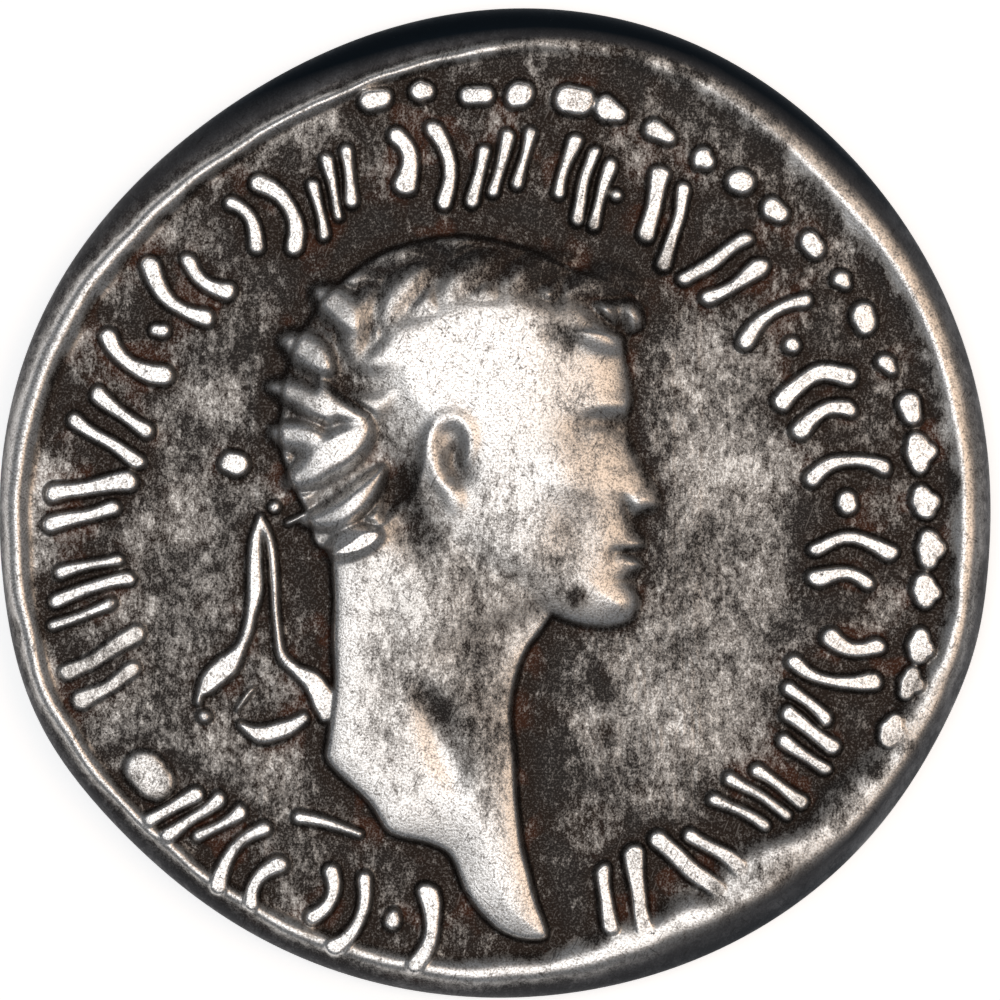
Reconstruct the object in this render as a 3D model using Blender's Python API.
# A struck silver coin, lying on its reverse with its obverse up.
#
# Lengths are in metres, +Z is up, and the origin is under the middle of the coin, on the surface it lies on.
# Looking down, the wreathed head faces +X and stands upright along +Y. Each side is a height map made of
# ridges, mounds and shoulders, laid on a fine disc that is then thinned out.
import math

import bmesh
import bpy
import numpy as np

MM = 0.001

# The flan: the blank that was struck. Bumps on its outline are (degrees, millimetres, spread in degrees).
FLAN_RADIUS = 9.5 * MM
FLAN_BUMPS = ((70, 0.10, 22), (125, -0.36, 30), (205, 0.20, 14), (315, 0.16, 30), (343, 0.07, 9))
EDGE_WIDTH = 0.42 * MM
EDGE_BUMPS = ((110, 0.42, 38), (298, 0.30, 20), (45, 0.16, 15), (186, -0.16, 24))
OBVERSE_FIELD = 1.31 * MM
REVERSE_FIELD = 0.32 * MM
MIDDLE_HEIGHT = 0.85 * MM
EDGE_BAND = 0.12 * MM
WORN_TOP = 1.82 * MM

# The obverse die was set off the middle of the flan.
RING_CENTRE = (-0.48 * MM, -0.90 * MM)
BEAD_RING = 8.74 * MM
BEAD_RADIUS = 0.29 * MM
BEAD_HEIGHT = 0.20 * MM
BEAD_PITCH = 5.93
STROKE_RING = 7.33 * MM
STROKE_LENGTH = 1.40 * MM
STROKE_HEIGHT = 0.20 * MM
STROKE_PITCH = 12.6

# The raised lip inside the rounded edge, higher and wider in places, on the obverse and on the reverse.
LIP_HEIGHT = 0.14 * MM
LIP_BUMPS = ((150, 0.06, 30), (305, 0.09, 28), (76, -0.09, 20), (45, -0.05, 18), (12, -0.05, 22))
LIP_WIDTH = 0.20 * MM
LIP_WIDTH_BUMPS = (
    (105, -0.09, 30), (165, 0.06, 22), (305, 0.38, 24), (330, 0.18, 14), (12, 0.20, 24), (46, 0.16, 20),
    (225, -0.07, 25),
)
UNDER_LIP_HEIGHT = 0.32 * MM
UNDER_LIP_BUMPS = ((60, 0.08, 40), (180, 0.08, 40), (300, 0.08, 40))
UNDER_LIP_WIDTH = 0.45 * MM

# The head, drawn on the usual proportions of a head in profile.
HEAD_HEIGHT = 7.5 * MM
CROWN_Y = 5.1 * MM
FACE_X = 2.62 * MM
EYE = 0.50
BROW = 0.435
NOSE_BASE = 0.72
MOUTH = 0.814
RELIEF = 0.45 * MM

# The height maps cover a square a little wider than the coin.
MAP_SIDE = 20.0 * MM
MAP_CELLS = 400

# The disc has this many squares across, and keeps this share of its triangles.
CELLS = 200
KEPT_SHARE = 0.056

map_axis = (np.arange(MAP_CELLS) + 0.5) * (MAP_SIDE / MAP_CELLS) - MAP_SIDE / 2
MAP_X, MAP_Y = np.meshgrid(map_axis, map_axis)
DEGREES = np.degrees(np.arctan2(MAP_Y, MAP_X))


def mm(points):
    """Points written in millimetres, in metres."""
    return np.asarray(points, float) * MM


def flat_map():
    return np.zeros((MAP_CELLS, MAP_CELLS))


def smooth(heights, size):
    """The map blurred by a bell curve of this size."""
    rate = np.fft.fftfreq(MAP_CELLS, MAP_SIDE / MAP_CELLS)
    bell = np.exp(-2 * (math.pi * size * rate) ** 2)
    return np.fft.ifft2(np.fft.fft2(heights) * bell[:, None] * bell[None, :]).real


def bumps(base, parts, degrees):
    """A size that varies round the coin: the base, with each bump added at its angle."""
    size = np.full(np.shape(degrees), float(base))
    for at, amount, spread in parts:
        away = (np.asarray(degrees) - at + 180) % 360 - 180
        size += amount * MM * np.exp(-((away / spread) ** 2))
    return size


def curve(points, steps=6, closed=False):
    """A smooth curve through the points."""
    points = np.asarray(points, float)
    if closed:
        ring = np.vstack([points[-1], points, points[:2]])
    else:
        ring = np.vstack([2 * points[0] - points[1], points, 2 * points[-1] - points[-2]])
    t = np.linspace(0, 1, steps, endpoint=False)[:, None]
    spans = []
    for a, b, c, d in zip(ring, ring[1:], ring[2:], ring[3:]):
        bend = 2 * a - 5 * b + 4 * c - d
        twist = 3 * b - a - 3 * c + d
        spans.append(0.5 * (2 * b + (c - a) * t + bend * t**2 + twist * t**3))
    return np.vstack(spans) if closed else np.vstack(spans + [points[-1:]])


def bow(start, end, bend, steps=8):
    """A line from start to end that bends to its left by this share of its length."""
    start, end = np.asarray(start, float), np.asarray(end, float)
    along = end - start
    side = np.array([-along[1], along[0]])
    t = np.linspace(0, 1, steps + 1)[:, None]
    return start + t * along + side * bend * 4 * t * (1 - t)


def spans_of(x, y, path, closed):
    """For each span of the path: the share along it, and the distance from it."""
    ends = np.roll(path, -1, axis=0) if closed else path[1:]
    for start, end in zip(path, ends):
        along = end - start
        t = ((x - start[0]) * along[0] + (y - start[1]) * along[1]) / max(along @ along, 1e-18)
        t = np.clip(t, 0, 1)
        yield start, end, t, np.hypot(x - start[0] - t * along[0], y - start[1] - t * along[1])


def depth_inside(x, y, outline):
    """How far each point lies inside the closed outline; negative outside."""
    nearest = np.full(x.shape, 1.0)
    inside = np.zeros(x.shape, bool)
    for start, end, _, distance in spans_of(x, y, outline, True):
        nearest = np.minimum(nearest, distance)
        if start[1] != end[1]:
            cross = (end[0] - start[0]) * (y - start[1]) / (end[1] - start[1]) + start[0]
            inside ^= ((start[1] > y) != (end[1] > y)) & (x < cross)
    return np.where(inside, nearest, -nearest)


def window(points, reach):
    """The rows and columns of the map within reach of the points."""
    points = np.asarray(points, float)
    scale = MAP_CELLS / MAP_SIDE
    low = np.floor((points.min(axis=0) - reach + MAP_SIDE / 2) * scale).astype(int)
    high = np.ceil((points.max(axis=0) + reach + MAP_SIDE / 2) * scale).astype(int) + 1
    low, high = np.clip(low, 0, MAP_CELLS), np.clip(high, 0, MAP_CELLS)
    return slice(low[1], high[1]), slice(low[0], high[0])


def along_path(values, path):
    """A row of values spread evenly over the points of the path."""
    values = np.atleast_1d(values)
    return np.interp(np.linspace(0, 1, len(path)), np.linspace(0, 1, len(values)), values)


def ridge(heights, path, half_widths, height, roundness=2.0, wear=1.0):
    """Raises a ridge along the path, where it stands higher than what is there. Across it, the height falls
    as 1 - (distance / half width) to the power of roundness. Width and height may change along the path. A
    wear above 1 makes the ridge that many times as tall and then cuts it level at its height."""
    half_widths, levels = along_path(half_widths, path), along_path(height, path)
    part = window(path, half_widths.max() + 0.05 * MM)
    x, y = MAP_X[part], MAP_Y[part]
    for i, (_, _, t, distance) in enumerate(spans_of(x, y, path, False)):
        width = half_widths[i] + t * (half_widths[i + 1] - half_widths[i])
        level = levels[i] + t * (levels[i + 1] - levels[i])
        raised = level * np.minimum(wear * (1 - np.minimum(distance / width, 1) ** roundness), 1)
        heights[part] = np.maximum(heights[part], raised)


def dot(heights, at, radius, height, roundness=2.0, wear=1.0):
    ridge(heights, np.array([at, at]), [radius, radius], height, roundness, wear)


def shoulder(depth, width, roundness=2.0):
    """0 at an outline, rising with a rounded shoulder to 1 at this depth inside it."""
    rise = np.clip(depth / width, 0, 1)
    return (1 - (1 - rise) ** roundness) ** (1 / roundness)


def bell(x, y, at, size, turn=0.0):
    """A smooth mound of height 1 with this half size each way, turned by these degrees."""
    cos, sin = math.cos(math.radians(turn)), math.sin(math.radians(turn))
    along = ((x - at[0]) * cos + (y - at[1]) * sin) / size[0]
    across = ((y - at[1]) * cos - (x - at[0]) * sin) / size[1]
    return np.exp(-(along**2) - across**2)


def blend_high(a, b, size):
    """The higher of two maps, with the crease between them rounded over this height."""
    share = np.clip(0.5 + 0.5 * (a - b) / size, 0, 1)
    return b + share * (a - b) + size * share * (1 - share)


def round_the_ring(degrees, radius, across=0.0):
    """The point at this angle and radius about the die's centre, moved across to the right."""
    angle = math.radians(degrees)
    x = RING_CENTRE[0] + radius * math.cos(angle) + across * math.sin(angle)
    y = RING_CENTRE[1] + radius * math.sin(angle) - across * math.cos(angle)
    return np.array([x, y])


def face_point(forward, down):
    """A point of the profile, as shares of the head's height."""
    return (FACE_X + forward * HEAD_HEIGHT, CROWN_Y - down * HEAD_HEIGHT)


def skull_arc(first, last, steps):
    """The outline of the hair over the back and the crown: an arc of an ellipse."""
    angles = np.radians(np.linspace(first, last, steps))
    points = np.stack([-0.62 + 3.5 * np.cos(angles), 1.55 + 3.55 * np.sin(angles)], axis=1)
    return mm(points)


FACE_OUTLINE = (
    (-0.012, 0.26), (0.004, 0.35), (0.006, BROW - 0.01), (-0.010, EYE - 0.015), (0.012, 0.55),
    (0.046, 0.612), (0.076, NOSE_BASE - 0.055), (0.070, NOSE_BASE - 0.02), (0.020, NOSE_BASE + 0.003),
    (0.020, 0.752), (0.040, MOUTH - 0.027), (0.020, MOUTH), (0.034, MOUTH + 0.028),
    (0.008, 0.880), (0.024, 0.930), (0.004, 0.982), (-0.060, 1.0), (-0.16, 0.985), (-0.30, 0.93),
    (-0.48, 0.83),
)
HAIRLINE = (
    (2.60, 3.20), (1.95, 3.22), (1.30, 3.15), (0.85, 2.75), (0.62, 2.2), (0.30, 1.65), (-0.25, 1.55),
    (-0.90, 1.75), (-1.30, 1.3), (-1.40, 0.5), (-1.80, -0.2), (-2.40, -0.65),
)
BUST = (
    (1.75, -1.2), (1.10, -2.25), (0.58, -2.95), (0.41, -4.1), (0.50, -6.0), (0.74, -7.3), (1.06, -8.32),
    (0.17, -8.26), (-0.50, -7.62), (-0.84, -6.86), (-1.25, -6.60), (-2.05, -6.34), (-2.46, -5.72),
    (-3.22, -5.02), (-3.22, -4.5), (-3.10, -3.4), (-3.10, -1.1), (-2.9, 0.3), (-1.0, 0.5), (0.8, -0.4),
)


def head_outlines():
    """Closed outlines of the head, of its hair, and of the neck and bust."""
    face = [face_point(*point) for point in FACE_OUTLINE]
    nape, fringe = mm([(-3.15, -0.95), (-3.5, -0.4)]), mm([(2.28, 4.22), (2.80, 3.88), (2.92, 3.45)])
    hair = np.vstack([nape, skull_arc(196, 55, 12), fringe])
    head = curve(np.vstack([hair, face]), 4, True)
    return head, curve(np.vstack([hair, mm(HAIRLINE)]), 4, True), curve(mm(BUST), 4, True)


FACE_FORMS = (
    (0.055, -0.040, BROW + 0.002, 0.080, 0.022, 6), (-0.120, -0.075, EYE - 0.005, 0.062, 0.034, 0),
    (0.090, -0.085, EYE + 0.005, 0.038, 0.022, 0), (0.050, -0.18, 0.60, 0.085, 0.060, -20),
    (-0.055, -0.15, 0.76, 0.070, 0.080, 0), (0.060, 0.020, NOSE_BASE - 0.035, 0.024, 0.022, 0),
    (-0.060, -0.014, NOSE_BASE - 0.025, 0.014, 0.032, 15),
    (-0.070, 0.035, NOSE_BASE - 0.008, 0.014, 0.008, 0),
    (-0.080, 0.000, MOUTH, 0.038, 0.010, -4), (0.030, 0.012, MOUTH - 0.022, 0.028, 0.013, 0),
    (0.035, 0.008, MOUTH + 0.028, 0.026, 0.014, 0), (-0.040, -0.048, MOUTH + 0.005, 0.014, 0.020, 0),
    (-0.040, -0.005, 0.882, 0.042, 0.013, 0), (0.045, -0.020, 0.935, 0.042, 0.036, 0),
    (0.030, -0.34, 0.84, 0.15, 0.05, 22),
)


def face_forms(x, y):
    """The brow, eye, cheek, nose, lips and chin, each a mound or a hollow in its usual place. The rows give
    a height in millimetres, a place, a half size and a turn."""
    total = np.zeros_like(x)
    for height, forward, down, wide, tall, turn in FACE_FORMS:
        size = (wide * HEAD_HEIGHT, tall * HEAD_HEIGHT)
        total += height * MM * bell(x, y, face_point(forward, down), size, turn)
    return total


def ear():
    """The ear's rims, between the lines of the brow and the nose base, and the hollow inside them."""
    rims = flat_map()
    tall = 0.115 * HEAD_HEIGHT
    middle = np.array(face_point(-0.455, 0.575))
    helix = [(0.30, -0.05), (0.42, 0.35), (0.30, 0.80), (-0.10, 1.0), (-0.46, 0.75), (-0.52, 0.2)]
    helix += [(-0.35, -0.35), (-0.12, -0.75)]
    ridge(rims, curve(middle + tall * np.array(helix)), mm([0.11, 0.15, 0.16, 0.15, 0.12]), 0.17 * MM, 3)
    lobe = [(-0.10, -0.60), (0.02, -0.85), (0.08, -1.0)]
    ridge(rims, curve(middle + tall * np.array(lobe)), mm([0.18, 0.25, 0.18]), 0.16 * MM, 3)
    fold = [(0.05, 0.55), (-0.20, 0.35), (-0.22, -0.05), (-0.05, -0.35)]
    ridge(rims, curve(middle + tall * np.array(fold)), mm([0.07, 0.10, 0.08]), 0.09 * MM)
    hollow = bell(MAP_X, MAP_Y, middle, (0.46 * tall, 0.74 * tall), -8)
    return 0.30 * smooth(rims, 0.10 * MM), hollow


# Each leaf over the nape: start, end, bend and half width, in millimetres.
BACK_LEAVES = (
    ((-3.68, 0.64), (-2.42, 1.46), -0.06, 0.43), ((-3.60, -0.40), (-2.14, 0.62), -0.14, 0.31),
    ((-3.28, 2.34), (-2.40, 1.62), -0.20, 0.24), ((-4.26, 2.14), (-3.08, 1.52), 0.12, 0.28),
    ((-3.10, -0.98), (-2.16, -0.66), 0.10, 0.29),
)
NAPE_ENDS = (((-1.95, -0.35), (-0.5, -0.9)), ((-2.45, -0.25), (-0.6, -0.9)), ((-2.95, -0.2), (-0.5, -0.8)))


def leaf(heights, start, end, bend, half_width, height=0.28 * MM):
    """A ridge whose half width swells and tapers like a laurel leaf's."""
    widths = np.array([0.30, 0.82, 1.0, 1.0, 0.76, 0.25]) * half_width * MM
    ridge(heights, bow(mm(start), mm(end), bend), widths, height, 3, 1.5)


def wreath():
    """Laurel leaves: broad ones over the nape, and softer pairs on a stem that climbs over the temple."""
    heights = flat_map()
    stem = curve(mm([(-2.7, 2.5), (-2.0, 3.3), (-0.6, 3.85), (0.8, 3.95), (2.2, 3.66)]), 10)
    for i in range(5):
        at = stem[2 + 8 * i]
        ahead = stem[3 + 8 * i] - at
        ahead = ahead / np.hypot(*ahead)
        side = np.array([-ahead[1], ahead[0]])
        for which in (1, -1):
            start = at + side * 0.12 * MM * which
            end = start + 1.35 * MM * (ahead * 0.93 + side * 0.36 * which)
            leaf(heights, start / MM, end / MM, 0.10 * which, 0.31, 0.16 * MM)
    heights = smooth(heights, 0.09 * MM)
    for start, end, bend, half_width in BACK_LEAVES:
        leaf(heights, start, end, bend, half_width)
    return smooth(heights, 0.05 * MM)


def lock(heights, at, way, bend, height, stout=1.0):
    """A comma-shaped lock: a bowed ridge that rises from its root, swells, and ends in a thin tip."""
    path = bow(at - 0.42 * way, at + 0.58 * way, bend)
    rise = np.array([0.35, 0.75, 1.0, 1.0, 0.85, 0.5]) * height
    ridge(heights, path, mm([0.10, 0.25, 0.34, 0.33, 0.22, 0.06]) * stout, rise, 2.4)


def hair_locks():
    """Rows of comma-shaped locks, swept forward over the crown and down to the nape, then the fringe."""
    heights = flat_map()
    chance = np.random.default_rng(4)
    centre = mm((-0.55, 1.75))
    rim = np.vstack([mm([(-3.45, -0.5)]), skull_arc(196, 55, 40), mm([(2.28, 4.22), (2.80, 3.80)])])
    lengths = np.concatenate([[0], np.cumsum(np.hypot(*np.diff(rim, axis=0).T))])
    for share, shift in ((0.62, 0.3), (0.88, 0.0)):
        count = int(lengths[-1] * share / (0.95 * MM))
        for i in range(count):
            place = (i + 0.5 + shift) / count * lengths[-1] + chance.uniform(-0.10, 0.10) * MM
            near = np.clip([place - 0.1 * MM, place, place + 0.1 * MM], 0, lengths[-1])
            before, at, after = np.stack([np.interp(near, lengths, rim[:, k]) for k in (0, 1)], axis=1)
            ahead = (after - before) / np.hypot(*(after - before))
            low = place < 0.20 * lengths[-1]
            back = place < 0.40 * lengths[-1]
            way = np.array([-0.35, -0.9]) if low else 0.75 * ahead + np.array([0.25, -0.60])
            way = way + chance.uniform(-0.18, 0.18, 2)
            way *= chance.uniform(1.15, 1.45) * MM / np.hypot(*way)
            at = centre + share * (at - centre)
            lock(heights, at, way, -0.22 if back else 0.20, chance.uniform(0.11, 0.17) * MM)
    for i in range(4):
        at = mm((2.38 - 0.50 * i, 3.60 + 0.04 * i))
        way = mm((0.24 - 0.07 * i, -1.02 + 0.14 * (i % 2)))
        lock(heights, at, way, 0.26, 0.24 * MM, 0.75)
    for at, way in NAPE_ENDS:
        lock(heights, mm(at), mm(way), 0.16, 0.15 * MM, 0.75)
    return smooth(heights, 0.06 * MM)


BACK_TIE = ((-4.47, -0.29), (-4.57, -0.8), (-4.57, -1.57), (-4.65, -2.15), (-4.80, -2.65), (-5.05, -3.1),
            (-5.40, -3.44), (-5.61, -3.67), (-5.68, -3.86))
FRONT_TIE = ((-4.47, -0.29), (-4.26, -0.8), (-4.19, -1.48), (-4.15, -2.13), (-4.07, -2.82), (-3.8, -3.2),
             (-3.47, -3.44), (-3.26, -3.78), (-3.24, -4.05))
TIE_ENDS = (((-4.80, -4.28), (-4.47, -4.45), (-4.05, -4.34), (-3.69, -4.07)),
            ((-4.86, -3.96), (-4.53, -3.54)))
KNOT = ((-3.94, -0.40), (-3.40, -0.21), (-2.75, -0.21), (-2.29, 0.10))
SMALL_BAR = ((-3.74, -6.0), (-3.17, -6.16), (-2.57, -6.34))


def ribbons():
    """The wreath's two ties behind the neck, with their fluttering ends, and the small marks near them."""
    heights = flat_map()
    back_widths = mm([0.08, 0.15, 0.18, 0.12, 0.13, 0.28, 0.21, 0.08, 0.07])
    front_widths = mm([0.07, 0.11, 0.11, 0.10, 0.10, 0.13, 0.24, 0.30, 0.15])
    ridge(heights, curve(mm(BACK_TIE)), back_widths, 0.22 * MM, 4, 1.5)
    ridge(heights, curve(mm(FRONT_TIE)), front_widths, 0.22 * MM, 4, 1.5)
    ridge(heights, curve(mm(TIE_ENDS[0])), mm([0.10, 0.22, 0.22, 0.14]), 0.22 * MM, 4, 1.5)
    ridge(heights, curve(mm(TIE_ENDS[1])), mm([0.05, 0.09, 0.05]), 0.10 * MM)
    ridge(heights, curve(mm(KNOT)), mm([0.08, 0.09, 0.10, 0.07]), 0.2 * MM)
    ridge(heights, curve(mm(SMALL_BAR)), mm([0.14, 0.12, 0.10]), 0.20 * MM, 4, 1.5)
    ridge(heights, mm([(-5.08, 0.78), (-4.92, 0.70)]), mm([0.24, 0.26]), 0.23 * MM, 5, 1.5)
    dot(heights, mm((-5.58, -4.10)), 0.14 * MM, 0.20 * MM, 4, 1.5)
    dot(heights, mm((-4.20, -0.12)), 0.14 * MM, 0.17 * MM, 4, 1.5)
    return heights


# The muscle and the fold of the neck: path, half widths, height and roundness.
NECK_FORMS = (
    (((-1.4, -0.9), (-1.0, -3.0), (-0.3, -5.6), (0.45, -7.7)), (0.7, 0.9, 0.8, 0.4), 0.03, 2.0),
    (((-1.38, -3.6), (-1.12, -4.2), (-0.84, -5.0), (-0.66, -5.5)), (0.20, 0.42, 0.42, 0.15), -0.10, 1.6),
)


def neck_forms():
    """Heights to add to the neck, and to take away in its fold."""
    total = flat_map()
    for path, half_widths, height, roundness in NECK_FORMS:
        form = flat_map()
        ridge(form, curve(mm(path)), mm(half_widths), abs(height) * MM, roundness)
        total += math.copysign(1, height) * form
    return smooth(total, 0.15 * MM)


def head_relief():
    """The head with its wreath, hair, ear and neck, as heights over the field."""
    part = window(mm([(-4.7, -9.0), (3.9, 5.6)]), 0)
    x, y = MAP_X[part], MAP_Y[part]
    head_depth, hair_depth, bust_depth = (depth_inside(x, y, outline) for outline in head_outlines())
    head = RELIEF * (
        0.32 * shoulder(head_depth, 0.12 * MM)
        + 0.26 * shoulder(head_depth, 0.9 * MM, 1.8)
        + 0.42 * shoulder(head_depth, 2.3 * MM, 1.9)
    )
    head = head + face_forms(x, y) * np.clip(head_depth / (0.12 * MM), 0, 1)
    head -= np.minimum(0.030 / MM * np.maximum(x - 0.5 * MM, 0) ** 2, 0.15 * MM)
    head = np.maximum(head, 0.05 * MM) * (head_depth > 0)
    bust = RELIEF * (
        0.50 * shoulder(bust_depth, 0.11 * MM, 1.8)
        + 0.14 * shoulder(bust_depth, 0.6 * MM)
        + 0.17 * shoulder(bust_depth, 1.9 * MM, 1.8)
    )
    bust -= 0.07 * MM * bell(x, y, face_point(-0.30, 1.0), (0.26 * HEAD_HEIGHT, 0.05 * HEAD_HEIGHT), 24)
    bust += neck_forms()[part]
    bust *= bust_depth > 0
    body = blend_high(head, bust, 0.04 * MM)
    rims, hollow = (map_[part] for map_ in ear())
    leaves, locks = wreath()[part] * (head_depth > 0), hair_locks()[part]
    worn = np.clip(2.2 * bell(x, y, mm((-0.35, 2.60)), mm((1.50, 1.25)), 12), 0, 1)
    body -= 0.15 * MM * shoulder(hair_depth, 0.35 * MM) * (hair_depth > 0) * (1 - worn)
    body -= 0.17 * MM * bell(x, y, mm((-1.80, 0.00)), mm((0.42, 1.00)), 22)
    showing = np.clip(hair_depth / (0.06 * MM), 0, 1) * np.clip(1 - leaves / (0.03 * MM), 0, 1)
    body += locks * showing * (1 - worn)
    body += leaves * (1 - 0.95 * worn) + rims - 0.20 * MM * hollow * np.clip(1 - rims / (0.05 * MM), 0, 1)
    heights = flat_map()
    heights[part] = np.where((head_depth > 0) | (bust_depth > 0) | (leaves > 0), np.maximum(body, 0), 0)
    return heights


# Each group of strokes: (start, end, bend), as shares of the stroke length, right and outward.
STROKE_GROUPS = (
    (((-0.34, -0.50), (-0.08, 0.48), 0.0), ((0.30, 0.24), (0.08, -0.50), 0.0)),
    (((-0.26, 0.50), (-0.26, -0.50), -0.17), ((0.18, -0.46), (0.17, 0.24), 0.17)),
    (((-0.38, -0.50), (-0.26, 0.16), 0.0), ((0.05, 0.42), (-0.08, -0.34), 0.0),
     ((0.22, -0.20), (0.34, 0.50), 0.0)),
    (((0.34, -0.50), (0.10, 0.50), 0.0), ((-0.30, 0.46), (-0.07, -0.30), 0.0)),
    (((-0.20, -0.50), (-0.10, 0.50), 0.16), ((0.25, -0.08), (0.25, -0.05), 0.0)),
    (((0.28, 0.50), (0.26, -0.50), 0.17), ((-0.17, -0.20), (-0.19, 0.48), -0.17)),
    (((-0.36, 0.50), (-0.24, -0.26), 0.0), ((0.08, -0.50), (-0.05, 0.42), 0.0),
     ((0.26, 0.30), (0.37, -0.46), 0.0)),
)


def inscription(heights, degrees, group, fade=1.0):
    """One group of shallow strokes on the ring of the inscription."""
    chance = np.random.default_rng(100 + group)
    strokes = STROKE_GROUPS[group % len(STROKE_GROUPS)]
    stout = (0.8 + 0.2 * fade) * (1.0 if len(strokes) < 3 else 0.8)
    for start, end, bend in strokes:
        a, b = (
            round_the_ring(degrees, STROKE_RING + STROKE_LENGTH * out, STROKE_LENGTH * right)
            for right, out in np.array([start, end]) + chance.uniform(-0.03, 0.03, (2, 2))
        )
        widths = mm([0.20, 0.17, 0.15, 0.15, 0.18]) * stout * chance.uniform(0.9, 1.1)
        ridge(heights, bow(a, b, bend, 6), widths, STROKE_HEIGHT * fade, 4, 1.8)


def border():
    """The ring of beads, and the ring of strokes inside it, with their tops worn level."""
    heights = flat_map()
    chance = np.random.default_rng(9)
    count = int((101 + 29) / BEAD_PITCH)
    for i in range(count + 1):
        degrees = 101 - BEAD_PITCH * i + chance.uniform(-0.8, 0.8)
        radius = BEAD_RING + chance.uniform(-0.06, 0.06) * MM
        wide = BEAD_RADIUS * chance.uniform(0.8, 1.0)
        half = BEAD_RADIUS * chance.uniform(0.1, 0.5)
        a, b = round_the_ring(degrees, radius, -half), round_the_ring(degrees, radius, half)
        ridge(heights, np.array([a, b]), [wide, wide * chance.uniform(0.6, 1.0)], BEAD_HEIGHT, 4, 1.8)
        if degrees < 15:
            half = max(half, 0.16 * MM)
            a, b = round_the_ring(degrees, radius, -half), round_the_ring(degrees, radius, half)
            ridge(heights, np.array([a, b]), [0.9 * wide, 0.9 * wide], BEAD_HEIGHT, 4, 1.8)
            tip = round_the_ring(degrees, radius + 0.16 * MM)
            ridge(heights, np.array([(a + b) / 2, tip]), [1.1 * wide, 0.8 * wide], BEAD_HEIGHT, 4, 1.8)
    for i in [*range(22), *range(23, 27)]:
        degrees = -66 + STROKE_PITCH * i
        fade = 1.0 - 0.65 * math.exp(-(((degrees - 203) / 15) ** 2))
        inscription(heights, degrees, 3 * i + i // 7, fade)
    ridge(heights, mm([(-6.66, -5.10), (-6.44, -5.36)]), mm([0.42, 0.40]), 0.12 * MM, 9)
    dot(heights, round_the_ring(67.1, STROKE_RING), 0.15 * MM, 0.18 * MM, 3, 1.6)
    return heights


def obverse_relief():
    return np.maximum(np.maximum(head_relief(), ribbons()), border())


def block(heights, middle, half_size, height, edge=0.12 * MM):
    """A raised rectangle with rounded shoulders."""
    inside = np.minimum(half_size[0] - abs(MAP_X - middle[0]), half_size[1] - abs(MAP_Y - middle[1]))
    np.maximum(heights, height * shoulder(inside, edge), out=heights)


# The steps, the body, its panel and the top: middle height, half width, half height and relief.
ALTAR_BLOCKS = (
    (-4.6, 3.3, 0.30, 0.40), (-3.9, 2.7, 0.30, 0.29), (-1.4, 2.15, 2.25, 0.20), (-2.0, 1.40, 1.05, 0.40),
    (1.1, 2.75, 0.30, 0.31),
)


def altar():
    """Blocks for the steps, body, panel and top, with a swag, two scrolls and the leaves of a fire."""
    heights = flat_map()
    for y, half_width, half_height, height in ALTAR_BLOCKS:
        block(heights, mm((0.2, y)), mm((half_width, half_height)), height * MM)
    for side in (-1, 1):
        swag = bow(mm((0.2 + 1.9 * side, 0.45)), mm((0.2, 0.45)), 0.26 * side)
        ridge(heights, swag, mm([0.12, 0.24, 0.12]), 0.31 * MM)
        dot(heights, mm((0.2 + 2.4 * side, 1.70)), 0.36 * MM, 0.28 * MM)
        leaf(heights, (0.2 + 0.95 * side, 1.45), (0.2 + 1.45 * side, 3.2), 0.14 * side, 0.32, 0.25 * MM)
        leaf(heights, (0.2 + 0.45 * side, 1.45), (0.2 + 0.65 * side, 3.8), -0.12 * side, 0.32, 0.25 * MM)
    leaf(heights, (0.2, 1.45), (0.2, 4.5), 0.06, 0.36, 0.28 * MM)
    return heights


def reverse_border():
    """The two rings of the reverse, about one centre, with beads where the flan has room for them."""
    heights = flat_map()
    for i in range(26):
        dot(heights, round_the_ring(-12 + BEAD_PITCH * i, BEAD_RING), 0.27 * MM, BEAD_HEIGHT, 2, 1.5)
    for i in range(24):
        inscription(heights, -62 + 12.9 * i, 2 * i + i // 5, 0.9)
    return heights


def reverse_relief():
    """The reverse as it is seen when the coin is turned over about X."""
    return np.maximum(altar(), reverse_border())[::-1]


def lip(height, height_bumps, width, width_bumps):
    """The metal pushed up just inside the rounded edge, with a nearly flat top."""
    from_edge = bumps(FLAN_RADIUS, FLAN_BUMPS, DEGREES) - np.hypot(MAP_X, MAP_Y)
    inward = from_edge - bumps(EDGE_WIDTH, EDGE_BUMPS, DEGREES)
    wide = bumps(width, width_bumps, DEGREES)
    crest = np.exp(-(np.clip(abs(inward - 0.04 * MM) / wide, 0, 2) ** 3))
    return bumps(height, height_bumps, DEGREES) * crest


def sides():
    """The heights of both sides over the surface that the coin lies on."""
    rim = lip(LIP_HEIGHT, LIP_BUMPS, LIP_WIDTH, LIP_WIDTH_BUMPS)
    top = OBVERSE_FIELD + smooth(np.maximum(obverse_relief(), rim), 0.03 * MM)
    under_rim = lip(UNDER_LIP_HEIGHT, UNDER_LIP_BUMPS, UNDER_LIP_WIDTH, ())
    under = REVERSE_FIELD - smooth(np.maximum(reverse_relief(), under_rim), 0.03 * MM)
    return top, under


def read(heights, x, y):
    """The map's height at these points, between its cells."""
    column = np.clip((x / MAP_SIDE + 0.5) * MAP_CELLS - 0.5, 0, MAP_CELLS - 1.001)
    row = np.clip((y / MAP_SIDE + 0.5) * MAP_CELLS - 0.5, 0, MAP_CELLS - 1.001)
    i, j = column.astype(int), row.astype(int)
    s, t = column - i, row - j
    low = heights[j, i] * (1 - s) + heights[j, i + 1] * s
    high = heights[j + 1, i] * (1 - s) + heights[j + 1, i + 1] * s
    return low * (1 - t) + high * t


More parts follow.
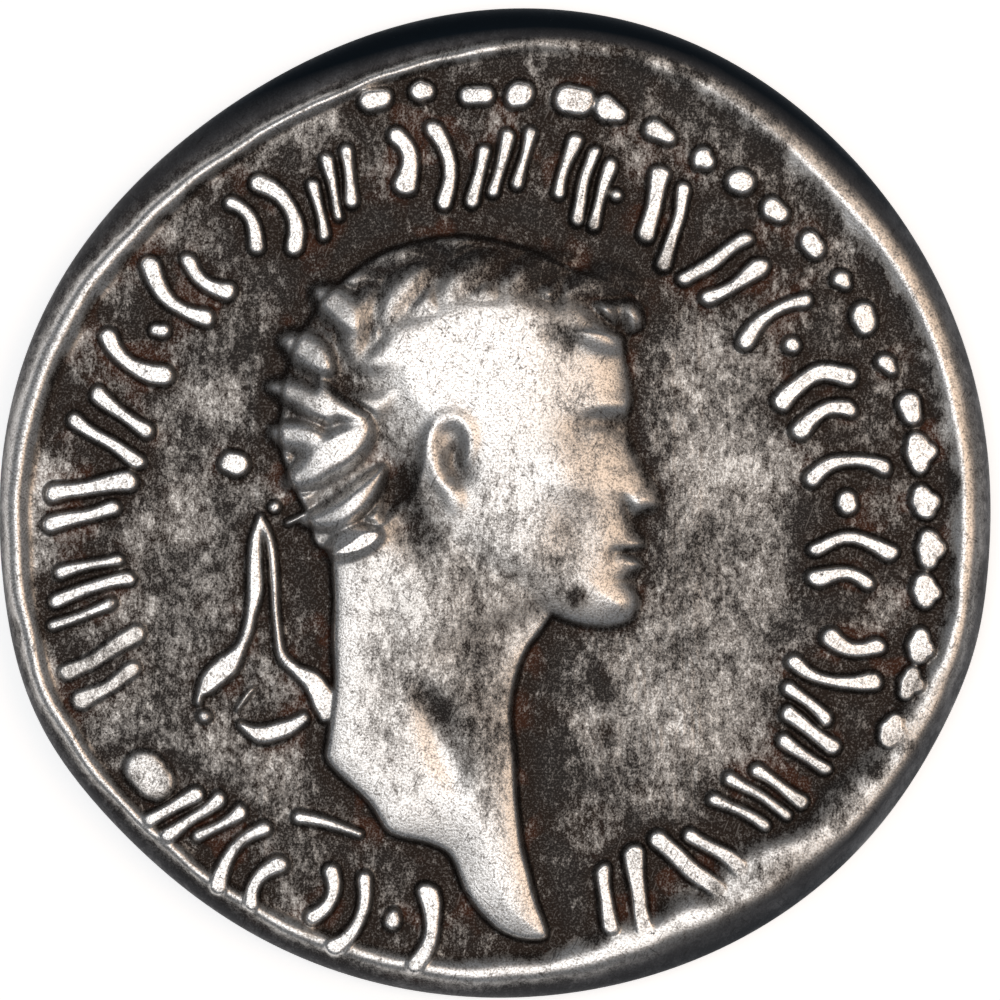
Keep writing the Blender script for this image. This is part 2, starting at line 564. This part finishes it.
def on_the_flan(u, v):
    """Where a point of the square from -1 to 1 lies on the coin, and the sine of its place round the edge."""
    wide = abs(u) > abs(v)
    safe_u, safe_v = np.where(u == 0, 1e-9, u), np.where(v == 0, 1e-9, v)
    share = np.maximum(abs(u), abs(v))
    angle = np.where(wide, math.pi / 4 * v / safe_u, math.pi / 2 - math.pi / 4 * u / safe_v)
    angle += math.pi * (np.where(wide, u, v) < 0)
    degrees = np.degrees(angle)
    radius = bumps(FLAN_RADIUS, FLAN_BUMPS, degrees)
    width = bumps(EDGE_WIDTH, EDGE_BUMPS, degrees)
    start = (radius - width) / (radius - width + width * math.pi / 2)
    turn = math.pi / 2 * np.clip((1 - share) / (1 - start), 0, 1)
    rho = np.where(share < start, (radius - width) * share / start, radius - width * (1 - np.cos(turn)))
    return rho * np.cos(angle), rho * np.sin(angle), np.sin(turn)


def struck_disc():
    """A flat box of fine squares, bent into the coin: its top is the obverse, its underside the reverse."""
    disc = bmesh.new()
    bmesh.ops.create_cube(disc, size=2.0)
    across = [edge for edge in disc.edges if edge.verts[0].co.z == edge.verts[1].co.z]
    bmesh.ops.subdivide_edges(disc, edges=across, cuts=CELLS - 1, use_grid_fill=True)
    mesh = bpy.data.meshes.new("coin")
    disc.to_mesh(mesh)
    disc.free()
    points = np.empty(len(mesh.vertices) * 3)
    mesh.vertices.foreach_get("co", points)
    points = points.reshape(-1, 3)
    x, y, flat = on_the_flan(points[:, 0], points[:, 1])
    top, under = sides()
    upper = MIDDLE_HEIGHT + EDGE_BAND / 2
    lower = MIDDLE_HEIGHT - EDGE_BAND / 2
    z_top = upper + (read(top, x, y) - upper) * flat
    z_under = lower + (read(under, x, y) - lower) * flat
    z = np.where(points[:, 2] > 0, z_top, z_under)
    x -= (x.min() + x.max()) / 2
    y -= (y.min() + y.max()) / 2
    mesh.vertices.foreach_set("co", np.stack([x, y, z], axis=1).ravel())
    mesh.update()
    return mesh


def clear_scene():
    for obj in list(bpy.data.objects):
        bpy.data.objects.remove(obj)


def collection(name):
    made = bpy.data.collections.new(name)
    bpy.context.scene.collection.children.link(made)
    return made


def silver():
    """Toned silver, worn bright on its high parts."""
    material = bpy.data.materials.new("worn silver")
    material.use_nodes = True
    shader = material.node_tree.nodes["Principled BSDF"]
    shader.inputs["Base Color"].default_value = (0.42, 0.40, 0.38, 1)
    shader.inputs["Metallic"].default_value = 1.0
    shader.inputs["Roughness"].default_value = 0.42
    return material


def plane_cutter(name, low, high, group):
    """A box over the whole coin, between two heights."""
    bpy.ops.mesh.primitive_cube_add(size=1, location=(0, 0, (low + high) / 2))
    box = bpy.context.object
    box.name = name
    box.scale = (24 * MM, 24 * MM, high - low)
    for owner in list(box.users_collection):
        owner.objects.unlink(box)
    group.objects.link(box)
    box.hide_render = True
    box.display_type = "WIRE"
    return box


def coin():
    """The struck coin, thinned to its main forms, then worn level above and below."""
    body = bpy.data.objects.new("coin", struck_disc())
    collection("denarius").objects.link(body)
    body.data.materials.append(silver())
    thin = body.modifiers.new("thin", "DECIMATE")
    thin.ratio = KEPT_SHARE
    thin.use_collapse_triangulate = True
    cutters = collection("cutters")
    planes = (("lying wear", -1.0 * MM, 0.0), ("top wear", WORN_TOP, WORN_TOP + 1.0 * MM))
    for name, low, high in planes:
        level = body.modifiers.new(name, "BOOLEAN")
        level.operation = "DIFFERENCE"
        level.solver = "MANIFOLD"
        level.object = plane_cutter(name, low, high, cutters)
    body.data.shade_smooth()
    return body


clear_scene()
coin()
